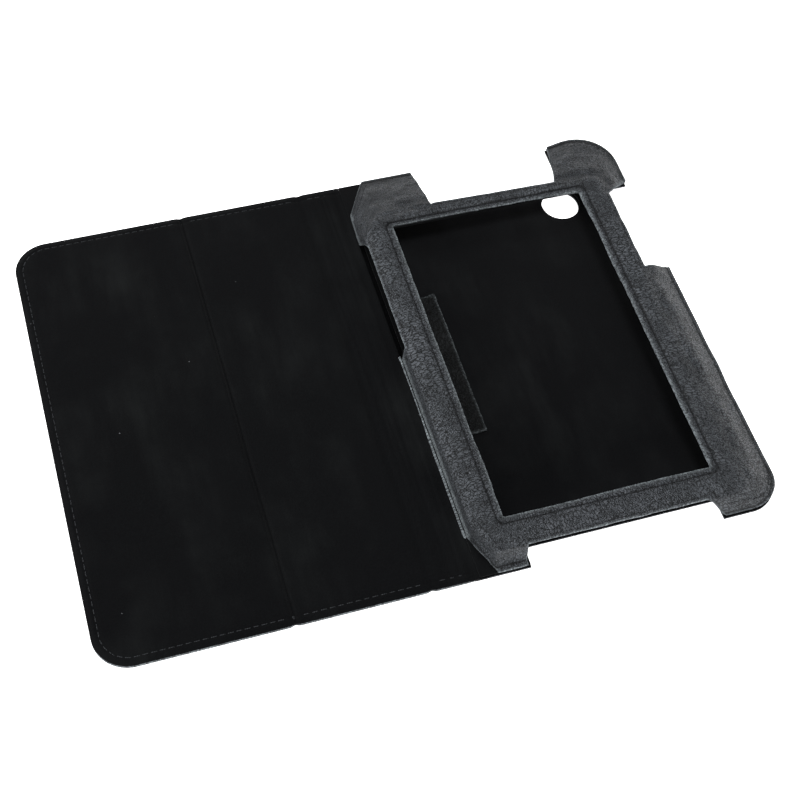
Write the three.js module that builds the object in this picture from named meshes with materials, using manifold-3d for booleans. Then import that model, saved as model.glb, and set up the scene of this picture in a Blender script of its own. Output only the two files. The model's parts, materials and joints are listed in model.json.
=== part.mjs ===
// Leather folio case for a small tablet, lying open and flat.
// Millimetres, +Z up. The origin is under the middle of the open case, on the surface it lies on.
// From left to right: outer cover, inner cover, spine, and the holder with its moulded frame.

import * as THREE from 'three';
import { mergeVertices } from 'three/addons/utils/BufferGeometryUtils.js';
import Module from 'manifold-3d';

const wasm = await Module();
wasm.setup();

// ---------------------------------------------------------------- driving sizes

// lengths of the open case, from the free edge of the cover to the right edge of the holder
const HEIGHT = 210.0;
const OUTER_W = 76.85;
const INNER_W = 55.55;
const SPINE_W = 17.3;
const HOLDER_W = 136.75;

// layers of a panel, from the outside in
const LEATHER = 1.0;
const BOARD = 0.8;
const SUEDE = 0.6;
const GLUE = 0.1;

// soft spine
const INTERLINING = 0.6;

// clear distance from a crease to the edge of each layer beside it
const LEATHER_GAP = 0.8;
const LAYER_GAP = 2.6;
const CREASE_Z = LEATHER / 2;

// corners and edges
const COVER_R = 15.0;
const BOARD_INSET = 1.2;
const SUEDE_INSET = 0.4;

// stitching
const THREAD_W = 0.6;
const THREAD_H = 0.35;
const THREAD_LIFT = 0.05;
const ROW_INSET = 3.0;
const FLANGE_ROW_WIDE = 2.2;
const FLANGE_ROW_NARROW = 1.3;

// holder outline: round corners on the right; on the left only the frame's corners are cut off,
// and the back runs on square into the spine
const CUT_TOP = { x: 11.0, y: 19.0 };
const CUT_BOTTOM = { x: 7.5, y: 19.0 };
const ROUND_TOP = 19.0;
const ROUND_BOTTOM = 14.0;

// moulded frame
const FRAME_T = 1.2;
const FRAME_H = 15.3;
const SHOULDER = 1.3;
const FLANGE_NARROW = 2.5;
const FLANGE_WIDE = 5.4;
const LEAN_LEFT = 0.85;
const LEAN_RIGHT = 16.0;
const LEAN_TOP = 30.7;
const LEAN_BOTTOM = 3.9;
const BAND_LEFT = 13.85;
const BAND_RIGHT = 13.65;
const BAND_TOP = 8.3;
const BAND_BOTTOM = 14.2;
const STIFFENER = 0.5;
const BAND_BACKING_INSET = 2.0;
const WINDOW_SETBACK = 0.5;

// ends of the corner pockets, measured from the nearest corner of the holder,
// first along the flange and then up at the band
const TL_ALONG_TOP = [35.5, 35.7];
const TL_DOWN_SIDE = [35.6, 44.8];
const TR_ALONG_TOP = [30.5, 38.7];
const TR_DOWN_SIDE = [30.6, 42.6];
const BR_UP_SIDE = [126.7, 122.6];
const BR_ALONG_BOTTOM = [27.3, 36.0];
const BL_ALONG_BOTTOM = [22.0, 20.3];
const BL_UP_SIDE = [110.3, 107.8];

// openings in the back panel
const NOTCH_TOP = 23.0;
const NOTCH_RIGHT = 13.0;
const NOTCH_BOTTOM = 8.9;
const NOTCH_LEFT = 1.6;
const CAMERA_R = 8.75;
const CAMERA_FROM_RIGHT = 35.2;
const CAMERA_FROM_TOP = 34.8;

// tuck flap on the pocket floor
const FLAP_W = 20.3;
const FLAP_L = 73.8;
const FLAP_OFFSET_Y = -3.9;
const FLAP_CLEAR = 0.5;

// ---------------------------------------------------------------- places worked out

const TOTAL_W = OUTER_W + INNER_W + SPINE_W + HOLDER_W;
const X_LEFT = -TOTAL_W / 2;
const X_CREASE1 = X_LEFT + OUTER_W;
const X_CREASE2 = X_CREASE1 + INNER_W;
const X_CREASE3 = X_CREASE2 + SPINE_W;
const X_RIGHT = X_CREASE3 + HOLDER_W;
const Y_TOP = HEIGHT / 2;
const Y_BOTTOM = -HEIGHT / 2;

const Z_BOARD = LEATHER + GLUE;
const Z_SUEDE = Z_BOARD + BOARD + GLUE;
const Z_LINING = Z_SUEDE + SUEDE;
const Z_SPINE_SUEDE = LEATHER + GLUE + INTERLINING + GLUE;
const Z_SPINE_TOP = Z_SPINE_SUEDE + SUEDE;
const Z_FLANGE = Z_LINING + GLUE;
const Z_FLANGE_TOP = Z_FLANGE + LEATHER;
const Z_BAND_UNDER = FRAME_H - FRAME_T;
const Z_STIFFENER = Z_BAND_UNDER - GLUE - STIFFENER;
const Z_BAND_LINING = Z_STIFFENER - GLUE - SUEDE;
const PAST = 3.0;

const holder = { x0: X_CREASE3 + LAYER_GAP, x1: X_RIGHT, y0: Y_BOTTOM, y1: Y_TOP };
const foot = {
  x0: holder.x0 + FLANGE_NARROW,
  x1: holder.x1 - FLANGE_WIDE,
  y0: holder.y0 + FLANGE_NARROW,
  y1: holder.y1 - FLANGE_WIDE,
};
const band = {
  x0: holder.x0 + LEAN_LEFT,
  x1: holder.x1 - LEAN_RIGHT,
  y0: holder.y0 + LEAN_BOTTOM,
  y1: holder.y1 - LEAN_TOP,
};
const opening = {
  x0: band.x0 + BAND_LEFT,
  x1: band.x1 - BAND_RIGHT,
  y0: band.y0 + BAND_BOTTOM,
  y1: band.y1 - BAND_TOP,
};

// ---------------------------------------------------------------- materials

function material(name, color, roughness, metalness = 0) {
  return new THREE.MeshStandardMaterial({ name, color, roughness, metalness });
}

const looks = {
  leather: () => material('black grained leather', 0x3a3b3e, 0.45),
  suede: () => material('black suede lining', 0x17191b, 0.95),
  board: () => material('grey board', 0x8a8780, 0.9),
  thread: () => material('dark grey thread', 0x4a4c4f, 0.7),
  stiffener: () => material('thin plastic stiffener', 0x202224, 0.6),
  interlining: () => material('felt interlining', 0x3c3c3c, 0.95),
};

// ---------------------------------------------------------------- outlines

// grows (positive) or shrinks (negative) a rectangle by one distance all round
function grow(r, d) {
  return { x0: r.x0 - d, x1: r.x1 + d, y0: r.y0 - d, y1: r.y1 + d };
}

// a closed shape through a rectangle's corners, each square, cut or round, anticlockwise
function cornered(r, corners) {
  const s = new THREE.Shape();
  const { bl = {}, br = {}, tr = {}, tl = {} } = corners;
  const cut = (c) => ({ x: c.x ?? c.r ?? 0, y: c.y ?? c.r ?? 0 });
  const [a, b, c, d] = [bl, br, tr, tl].map(cut);
  s.moveTo(r.x0 + a.x, r.y0);
  s.lineTo(r.x1 - b.x, r.y0);
  if (br.r) s.absarc(r.x1 - br.r, r.y0 + br.r, br.r, -Math.PI / 2, 0);
  else if (b.x) s.lineTo(r.x1, r.y0 + b.y);
  s.lineTo(r.x1, r.y1 - c.y);
  if (tr.r) s.absarc(r.x1 - tr.r, r.y1 - tr.r, tr.r, 0, Math.PI / 2);
  else if (c.x) s.lineTo(r.x1 - c.x, r.y1);
  s.lineTo(r.x0 + d.x, r.y1);
  if (tl.r) s.absarc(r.x0 + tl.r, r.y1 - tl.r, tl.r, Math.PI / 2, Math.PI);
  else if (d.x) s.lineTo(r.x0, r.y1 - d.y);
  s.lineTo(r.x0, r.y0 + a.y);
  if (bl.r) s.absarc(r.x0 + bl.r, r.y0 + bl.r, bl.r, Math.PI, 1.5 * Math.PI);
  s.closePath();
  return s;
}

// the holder's corners, with the round ones less an amount for a line drawn inside the edge
function holderCorners(less = 0) {
  return {
    bl: CUT_BOTTOM,
    br: { r: ROUND_BOTTOM - less },
    tr: { r: ROUND_TOP - less },
    tl: CUT_TOP,
  };
}

// the back keeps its square corners beside the spine
function backCorners(less = 0) {
  return { br: { r: ROUND_BOTTOM - less }, tr: { r: ROUND_TOP - less } };
}

function polygon(points) {
  return new THREE.Shape(points.map(([x, y]) => new THREE.Vector2(x, y)));
}

function rectangle(r) {
  return cornered(r, {});
}

// ---------------------------------------------------------------- solids

function slab(shape, z0, z1, curveSegments = 8) {
  const g = new THREE.ExtrudeGeometry(shape, { depth: z1 - z0, bevelEnabled: false, curveSegments });
  g.translate(0, 0, z0);
  return g;
}

function toSolid(geometry) {
  const g = geometry.index ? geometry.toNonIndexed() : geometry.clone();
  g.deleteAttribute('normal');
  g.deleteAttribute('uv');
  const m = mergeVertices(g, 1e-5);
  return new wasm.Manifold(new wasm.Mesh({
    numProp: 3,
    vertProperties: new Float32Array(m.attributes.position.array),
    triVerts: new Uint32Array(m.index.array),
  }));
}

function toGeometry(solid) {
  const mesh = solid.getMesh();
  const g = new THREE.BufferGeometry();
  g.setAttribute('position', new THREE.BufferAttribute(new Float32Array(mesh.vertProperties), 3));
  g.setIndex(new THREE.BufferAttribute(new Uint32Array(mesh.triVerts), 1));
  g.computeVertexNormals();
  return g;
}

function cutAll(solid, tools) {
  return tools.reduce((s, t) => s.subtract(t), solid);
}

const group = new THREE.Group();

function add(name, geometry, look) {
  const mesh = new THREE.Mesh(geometry, looks[look]());
  mesh.name = name;
  group.add(mesh);
}

// ---------------------------------------------------------------- the three turning panels

// one layer of a panel: its free sides are held back by an inset, its crease sides by a gap
function layerRect(panel, inset, gap) {
  return {
    x0: panel.x0 + (panel.free === 'left' ? inset : gap),
    x1: panel.x1 - gap,
    y0: Y_BOTTOM + inset,
    y1: Y_TOP - inset,
  };
}

function layerShape(panel, inset, gap) {
  const r = Math.max(COVER_R - inset, 1);
  const corners = panel.free === 'left' ? { bl: { r }, tl: { r } } : {};
  return cornered(layerRect(panel, inset, gap), corners);
}

const outer = { x0: X_LEFT, x1: X_CREASE1, free: 'left' };
const inner = { x0: X_CREASE1, x1: X_CREASE2 };
const spine = { x0: X_CREASE2, x1: X_CREASE3 };

for (const [name, panel] of Object.entries({ outer_cover: outer, inner_cover: inner })) {
  add(`${name}_leather`, slab(layerShape(panel, 0, LEATHER_GAP), 0, LEATHER), 'leather');
  add(`${name}_board`, slab(layerShape(panel, BOARD_INSET, LAYER_GAP), Z_BOARD, Z_BOARD + BOARD), 'board');
  add(`${name}_lining`, slab(layerShape(panel, SUEDE_INSET, LAYER_GAP), Z_SUEDE, Z_LINING), 'suede');
}

add('spine_leather', slab(layerShape(spine, 0, LEATHER_GAP), 0, LEATHER), 'leather');
add(
  'spine_interlining',
  slab(layerShape(spine, BOARD_INSET, LAYER_GAP), LEATHER + GLUE, LEATHER + GLUE + INTERLINING),
  'interlining',
);
add('spine_lining', slab(layerShape(spine, SUEDE_INSET, LAYER_GAP), Z_SPINE_SUEDE, Z_SPINE_TOP), 'suede');

// a row of stitches runs as one thread along the free edges of a panel
function rowZ(z) {
  return [z + THREAD_LIFT, z + THREAD_LIFT + THREAD_H];
}

const outerRow = toSolid(slab(layerShape(outer, ROW_INSET, LAYER_GAP), ...rowZ(Z_LINING), 12))
  .subtract(toSolid(slab(
    cornered(
      {
        x0: outer.x0 + ROW_INSET + THREAD_W,
        x1: outer.x1 + PAST,
        y0: Y_BOTTOM + ROW_INSET + THREAD_W,
        y1: Y_TOP - ROW_INSET - THREAD_W,
      },
      { bl: { r: COVER_R - ROW_INSET - THREAD_W }, tl: { r: COVER_R - ROW_INSET - THREAD_W } },
    ),
    Z_LINING - PAST,
    Z_LINING + PAST,
    12,
  )));
add('outer_cover_stitches', toGeometry(outerRow), 'thread');

function straightRow(panel, side) {
  const y = side === 'top' ? Y_TOP - ROW_INSET - THREAD_W : Y_BOTTOM + ROW_INSET;
  return rectangle({ x0: panel.x0 + LAYER_GAP, x1: panel.x1 - LAYER_GAP, y0: y, y1: y + THREAD_W });
}

for (const side of ['top', 'bottom']) {
  add(`inner_cover_stitches_${side}`, slab(straightRow(inner, side), ...rowZ(Z_LINING)), 'thread');
  add(`spine_stitches_${side}`, slab(straightRow(spine, side), ...rowZ(Z_SPINE_TOP)), 'thread');
}

// ---------------------------------------------------------------- cut-outs around the holder

const { x0: HX0, x1: HX1, y0: HY0, y1: HY1 } = holder;

// each side's gap runs between the ends of two corner pockets; the first of each pair of
// lengths is at the flange, the second where the wall meets the band
const gaps = {
  top: [
    [HX0 + TL_ALONG_TOP[0], HY1 + PAST],
    [HX0 + TL_ALONG_TOP[0], HY1],
    [HX0 + TL_ALONG_TOP[1], band.y1],
    [HX1 - TR_ALONG_TOP[1], band.y1],
    [HX1 - TR_ALONG_TOP[0], HY1],
    [HX1 - TR_ALONG_TOP[0], HY1 + PAST],
  ],
  right: [
    [HX1 + PAST, HY1 - TR_DOWN_SIDE[0]],
    [HX1, HY1 - TR_DOWN_SIDE[0]],
    [band.x1, HY1 - TR_DOWN_SIDE[1]],
    [band.x1, HY0 + BR_UP_SIDE[1]],
    [HX1, HY0 + BR_UP_SIDE[0]],
    [HX1 + PAST, HY0 + BR_UP_SIDE[0]],
  ],
  bottom: [
    [HX0 + BL_ALONG_BOTTOM[0], HY0 - PAST],
    [HX0 + BL_ALONG_BOTTOM[0], HY0],
    [HX0 + BL_ALONG_BOTTOM[1], band.y0],
    [HX1 - BR_ALONG_BOTTOM[1], band.y0],
    [HX1 - BR_ALONG_BOTTOM[0], HY0],
    [HX1 - BR_ALONG_BOTTOM[0], HY0 - PAST],
  ],
  left: [
    [HX0 - PAST, HY0 + BL_UP_SIDE[0]],
    [HX0, HY0 + BL_UP_SIDE[0]],
    [band.x0, HY0 + BL_UP_SIDE[1]],
    [band.x0, HY1 - TL_DOWN_SIDE[1]],
    [HX0, HY1 - TL_DOWN_SIDE[0]],
    [HX0 - PAST, HY1 - TL_DOWN_SIDE[0]],
  ],
};

// under the band the gaps reach further in, past the foot of the wall
const reach = {
  top: [0, -PAST],
  right: [-PAST, 0],
  bottom: [0, 2 * PAST],
  left: [2 * PAST, 0],
};

function gapTools() {
  const tools = [];
  for (const [side, points] of Object.entries(gaps)) {
    tools.push(toSolid(slab(polygon(points), Z_LINING - PAST, FRAME_H + PAST)));
    const [dx, dy] = reach[side];
    const a = points[2];
    const b = points[3];
    const under = [points[1], a, [a[0] + dx, a[1] + dy], [b[0] + dx, b[1] + dy], b, points[4]];
    tools.push(toSolid(slab(polygon(under), Z_LINING - PAST, Z_BAND_UNDER)));
  }
  return tools;
}

// the back panel is cut square behind each gap
function notch(side, less = 0) {
  const wide = {
    top: {
      x0: HX0 + TL_ALONG_TOP[0], x1: HX1 - TR_ALONG_TOP[0], y0: HY1 - NOTCH_TOP, y1: HY1 + PAST,
    },
    right: {
      x0: HX1 - NOTCH_RIGHT, x1: HX1 + PAST, y0: HY0 + BR_UP_SIDE[0], y1: HY1 - TR_DOWN_SIDE[0],
    },
    bottom: {
      x0: HX0 + BL_ALONG_BOTTOM[0], x1: HX1 - BR_ALONG_BOTTOM[0], y0: HY0 - PAST, y1: HY0 + NOTCH_BOTTOM,
    },
    left: {
      x0: HX0 - PAST, x1: HX0 + NOTCH_LEFT, y0: HY0 + BL_UP_SIDE[0], y1: HY1 - TL_DOWN_SIDE[0],
    },
  };
  return toSolid(slab(rectangle(grow(wide[side], less)), -PAST, Z_FLANGE_TOP + PAST));
}

const camera = { x: HX1 - CAMERA_FROM_RIGHT, y: HY1 - CAMERA_FROM_TOP };

function cameraHole(less = 0) {
  const g = new THREE.CylinderGeometry(CAMERA_R + less, CAMERA_R + less, 4 * PAST, 32);
  g.rotateX(Math.PI / 2);
  g.translate(camera.x, camera.y, 0);
  return toSolid(g);
}

// ---------------------------------------------------------------- holder back

function backLayer(x0, inset, z0, z1, notches) {
  const r = grow(holder, -inset);
  r.x0 = x0;
  const plate = toSolid(slab(cornered(r, backCorners(inset)), z0, z1));
  const cuts = notches.map((side) => notch(side, inset));
  return toGeometry(cutAll(plate, [...cuts, cameraHole(inset)]));
}

const ALL_SIDES = ['top', 'right', 'bottom', 'left'];
const FREE_SIDES = ['top', 'right', 'bottom'];

add('back_leather', backLayer(X_CREASE3 + LEATHER_GAP, 0, 0, LEATHER, FREE_SIDES), 'leather');
add('back_board', backLayer(HX0 + BOARD_INSET, BOARD_INSET, Z_BOARD, Z_BOARD + BOARD, ALL_SIDES), 'board');
add('back_lining', backLayer(HX0, SUEDE_INSET, Z_SUEDE, Z_LINING, ALL_SIDES), 'suede');

// ---------------------------------------------------------------- moulded frame

// the wall's section: height, how far it has leaned from the foot to the band, and how far
// the edge has been drawn in by the round of the shoulder
function wallLevels(z0, top) {
  const rise = top - Z_FLANGE_TOP;
  return [
    { z: z0, lean: 0, inset: 0 },
    { z: Z_FLANGE_TOP, lean: 0, inset: 0 },
    { z: Z_FLANGE_TOP + rise * 0.35, lean: 0.3, inset: 0 },
    { z: Z_FLANGE_TOP + rise * 0.68, lean: 0.68, inset: 0 },
    { z: top - SHOULDER * 0.7, lean: 1, inset: 0.1 * SHOULDER },
    { z: top, lean: 1, inset: SHOULDER },
  ];
}

// a solid with the holder's corners whose outline leans from the foot to the band
function leaningSolid(inset, levels) {
  const base = grow(foot, -inset);
  const g = new THREE.ExtrudeGeometry(cornered(base, holderCorners(FLANGE_WIDE + inset)), {
    depth: levels.length - 1,
    steps: levels.length - 1,
    bevelEnabled: false,
    curveSegments: 8,
  });
  const p = g.attributes.position;
  for (let i = 0; i < p.count; i += 1) {
    const l = levels[Math.round(p.getZ(i))];
    const x0 = THREE.MathUtils.lerp(foot.x0, band.x0, l.lean) + inset + l.inset;
    const x1 = THREE.MathUtils.lerp(foot.x1, band.x1, l.lean) - inset - l.inset;
    const y0 = THREE.MathUtils.lerp(foot.y0, band.y0, l.lean) + inset + l.inset;
    const y1 = THREE.MathUtils.lerp(foot.y1, band.y1, l.lean) - inset - l.inset;
    const u = (p.getX(i) - base.x0) / (base.x1 - base.x0);
    const v = (p.getY(i) - base.y0) / (base.y1 - base.y0);
    p.setXYZ(i, x0 + u * (x1 - x0), y0 + v * (y1 - y0), l.z);
  }
  return toSolid(g);
}

const flange = toSolid(slab(cornered(holder, holderCorners()), Z_FLANGE, Z_FLANGE_TOP));
const shell = leaningSolid(0, wallLevels(Z_FLANGE, FRAME_H));
const hollow = leaningSolid(FRAME_T, wallLevels(Z_FLANGE - PAST, Z_BAND_UNDER));
const windowCut = toSolid(slab(rectangle(opening), Z_LINING, FRAME_H + PAST));

const frame = cutAll(flange.add(shell), [hollow, windowCut, ...gapTools()]);
add('frame_leather', toGeometry(frame), 'leather');

// the band is backed by a thin stiffener and its own suede lining
function bandBacking(z0, z1, setback) {
  const outline = cornered(grow(band, -BAND_BACKING_INSET - FRAME_T), holderCorners());
  const ring = toSolid(slab(outline, z0, z1));
  return toGeometry(ring.subtract(toSolid(slab(rectangle(grow(opening, setback)), z0 - PAST, z1 + PAST))));
}

add('frame_stiffener', bandBacking(Z_STIFFENER, Z_STIFFENER + STIFFENER, 2 * WINDOW_SETBACK), 'stiffener');
add('frame_lining', bandBacking(Z_BAND_LINING, Z_BAND_LINING + SUEDE, WINDOW_SETBACK), 'suede');

// ---------------------------------------------------------------- frame stitching

const windowRow = toSolid(slab(rectangle(grow(opening, ROW_INSET + THREAD_W)), ...rowZ(FRAME_H)))
  .subtract(toSolid(slab(rectangle(grow(opening, ROW_INSET)), Z_LINING, FRAME_H + PAST)));
add('window_stitches', toGeometry(windowRow), 'thread');

// the seam row follows the flange round the holder and stops at each gap
function seamRing() {
  const r = {
    x0: HX0 + FLANGE_ROW_NARROW,
    x1: HX1 - FLANGE_ROW_WIDE,
    y0: HY0 + FLANGE_ROW_NARROW,
    y1: HY1 - FLANGE_ROW_WIDE,
  };
  const whole = toSolid(slab(cornered(r, holderCorners(FLANGE_ROW_WIDE)), ...rowZ(Z_FLANGE_TOP)));
  const middle = cornered(grow(r, -THREAD_W), holderCorners(FLANGE_ROW_WIDE + THREAD_W));
  return cutAll(whole, [toSolid(slab(middle, Z_LINING, FRAME_H)), ...gapTools()]);
}

const seam = seamRing();
const seamX = (HX0 + TL_ALONG_TOP[0] + HX1 - TR_ALONG_TOP[0]) / 2;
const seamLeftY = (HY0 + BL_UP_SIDE[0] + HY1 - TL_DOWN_SIDE[0]) / 2;
const seamRightY = (HY0 + BR_UP_SIDE[0] + HY1 - TR_DOWN_SIDE[0]) / 2;
const quarters = {
  top_left: { x0: HX0 - PAST, x1: seamX, y0: seamLeftY, y1: HY1 + PAST },
  top_right: { x0: seamX, x1: HX1 + PAST, y0: seamRightY, y1: HY1 + PAST },
  bottom_right: { x0: seamX, x1: HX1 + PAST, y0: HY0 - PAST, y1: seamRightY },
  bottom_left: { x0: HX0 - PAST, x1: seamX, y0: HY0 - PAST, y1: seamLeftY },
};
for (const [corner, r] of Object.entries(quarters)) {
  const part = seam.intersect(toSolid(slab(rectangle(r), Z_LINING, FRAME_H)));
  add(`seam_stitches_${corner}`, toGeometry(part), 'thread');
}

// ---------------------------------------------------------------- tuck flap

const flapX = foot.x0 + FRAME_T + FLAP_CLEAR;
const flap = {
  x0: flapX,
  x1: flapX + FLAP_W,
  y0: FLAP_OFFSET_Y - FLAP_L / 2,
  y1: FLAP_OFFSET_Y + FLAP_L / 2,
};
add('tuck_flap', slab(rectangle(flap), Z_FLANGE, Z_FLANGE + LEATHER), 'leather');

export default group;
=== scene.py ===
import json
import math

import bpy
import numpy as np
from mathutils import Matrix, Vector, kdtree


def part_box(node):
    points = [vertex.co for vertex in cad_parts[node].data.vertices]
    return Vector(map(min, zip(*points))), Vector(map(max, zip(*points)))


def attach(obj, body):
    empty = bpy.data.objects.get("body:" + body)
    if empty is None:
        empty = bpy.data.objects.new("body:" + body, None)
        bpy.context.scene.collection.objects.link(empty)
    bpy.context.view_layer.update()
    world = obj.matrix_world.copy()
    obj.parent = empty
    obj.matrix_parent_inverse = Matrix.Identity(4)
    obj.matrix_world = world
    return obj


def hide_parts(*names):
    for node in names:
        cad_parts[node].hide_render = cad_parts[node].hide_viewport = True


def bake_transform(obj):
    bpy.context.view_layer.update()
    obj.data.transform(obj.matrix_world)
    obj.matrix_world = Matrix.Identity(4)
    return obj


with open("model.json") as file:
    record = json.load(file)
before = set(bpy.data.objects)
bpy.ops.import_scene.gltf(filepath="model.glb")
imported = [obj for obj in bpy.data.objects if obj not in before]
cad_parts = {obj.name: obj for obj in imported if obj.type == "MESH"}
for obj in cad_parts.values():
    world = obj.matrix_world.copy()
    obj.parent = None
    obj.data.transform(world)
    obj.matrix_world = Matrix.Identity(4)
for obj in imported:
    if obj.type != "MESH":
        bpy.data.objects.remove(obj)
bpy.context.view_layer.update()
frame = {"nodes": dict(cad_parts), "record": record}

MM = 0.001

# ------------------------------------------------------------------ sizes from the frame

JOINTS = {j["name"]: j for j in frame["record"]["behaviour"]["joints"]}
CREASE1 = JOINTS["stand_fold"]["pos_m"][0]
CREASE2 = JOINTS["cover_fold"]["pos_m"][0]
CREASE3 = JOINTS["spine_fold"]["pos_m"][0]


def flat_box(node):
    """x0, x1, y0, y1 of a CAD node at rest."""
    lo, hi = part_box(node)
    return lo.x, hi.x, lo.y, hi.y


X_LEFT, _, Y_BOTTOM, Y_TOP = flat_box("outer_cover_leather")
HX0, HX1, HY0, HY1 = flat_box("frame_leather")
BACK_X0 = flat_box("back_leather")[0]
ROW = flat_box("window_stitches")
FLAP = flat_box("tuck_flap")
Z_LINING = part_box("outer_cover_lining")[1].z
Z_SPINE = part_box("spine_lining")[1].z
Z_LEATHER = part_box("outer_cover_leather")[1].z
Z_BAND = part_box("frame_leather")[1].z
Z_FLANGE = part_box("seam_stitches_bottom_left")[0].z

ROW_INSET = 3.0 * MM  # from a cut edge to the near side of the thread
THREAD_W = 0.6 * MM
BACKING_INSET = 3.2 * MM  # the frame's lining stops this far inside the band's edge
WIN_X0, WIN_X1 = ROW[0] + ROW_INSET + THREAD_W, ROW[1] - ROW_INSET - THREAD_W
WIN_Y0, WIN_Y1 = ROW[2] + ROW_INSET + THREAD_W, ROW[3] - ROW_INSET - THREAD_W
BACKING = flat_box("frame_lining")
BAND_X0, BAND_X1 = BACKING[0] - BACKING_INSET, BACKING[1] + BACKING_INSET
BAND_Y0, BAND_Y1 = BACKING[2] - BACKING_INSET, BACKING[3] + BACKING_INSET

COVER_R = 15.0 * MM
SUEDE_T = 0.6 * MM
RIM_Z = 1.95 * MM  # the lining's top at the cover's edge, where it is pressed down
# where one bending sheet ends and the next begins, away from the creases
SEAM_A = (CREASE1 + CREASE2) / 2
SEAM_B = CREASE2 + 0.38 * (CREASE3 - CREASE2)


# ------------------------------------------------------------------ small tools

def deselect():
    bpy.ops.object.select_all(action="DESELECT")


def activate(obj):
    deselect()
    obj.select_set(True)
    bpy.context.view_layer.objects.active = obj


def modify(obj, kind, **settings):
    """Adds one modifier, sets it and applies it."""
    activate(obj)
    mod = obj.modifiers.new(kind.lower(), kind)
    for key, value in settings.items():
        setattr(mod, key, value)
    bpy.ops.object.modifier_apply(modifier=mod.name)
    return obj


def flip_faces(obj):
    activate(obj)
    bpy.ops.object.mode_set(mode="EDIT")
    bpy.ops.mesh.select_all(action="SELECT")
    bpy.ops.mesh.flip_normals()
    bpy.ops.object.mode_set(mode="OBJECT")


def get_points(obj):
    p = np.empty(len(obj.data.vertices) * 3)
    obj.data.vertices.foreach_get("co", p)
    return p.reshape(-1, 3)


def set_points(obj, p):
    obj.data.vertices.foreach_set("co", np.ascontiguousarray(p).ravel())
    obj.data.update()


def smooth(t):
    t = np.clip(t, 0, 1)
    return t * t * (3 - 2 * t)


def hump(v, at, width):
    return np.exp(-(((v - at) / width) ** 2))


def ripple(x, y, size, seed, waves=14):
    """Gentle uneven rise and fall, from about -1 to 1, whose bumps are about size wide."""
    rng = np.random.default_rng(seed)
    total = np.zeros_like(x)
    for _ in range(waves):
        turn, phase = rng.uniform(0, 2 * math.pi, 2)
        k = math.pi / size * rng.uniform(0.6, 1.6)
        total += np.sin(k * (x * math.cos(turn) + y * math.sin(turn)) + phase)
    return total / math.sqrt(waves) * 0.8


# ------------------------------------------------------------------ materials

# A pattern's Scale is in features per metre, 1000 over the size in millimetres that stands
# beside it.

def linear(code):
    """sRGB hex to a linear colour."""
    values = [int(code[i:i + 2], 16) / 255 for i in (1, 3, 5)]
    return [v / 12.92 if v <= 0.04045 else ((v + 0.055) / 1.055) ** 2.4 for v in values] + [1.0]


def add(mat, kind, links=(), stops=(), **settings):
    """Adds one node, sets its properties, inputs and colour stops, and links its inputs."""
    node = mat.node_tree.nodes.new("ShaderNode" + kind)
    for key, value in settings.items():
        if hasattr(node, key):
            setattr(node, key, value)
        else:
            node.inputs[key.replace("_", " ")].default_value = value
    if stops:
        marks = node.color_ramp.elements
        while len(marks) < len(stops):
            marks.new(0.5)
        for mark, (position, colour) in zip(marks, stops):
            mark.position = position
            mark.color = colour
    for socket, source in dict(links).items():
        mat.node_tree.links.new(source, node.inputs[socket])
    return node


def new_material(name):
    mat = bpy.data.materials.new(name)
    mat.use_nodes = True
    return mat, mat.node_tree.nodes["Principled BSDF"]


def grey(v):
    return (v, v, v, 1.0)


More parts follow.
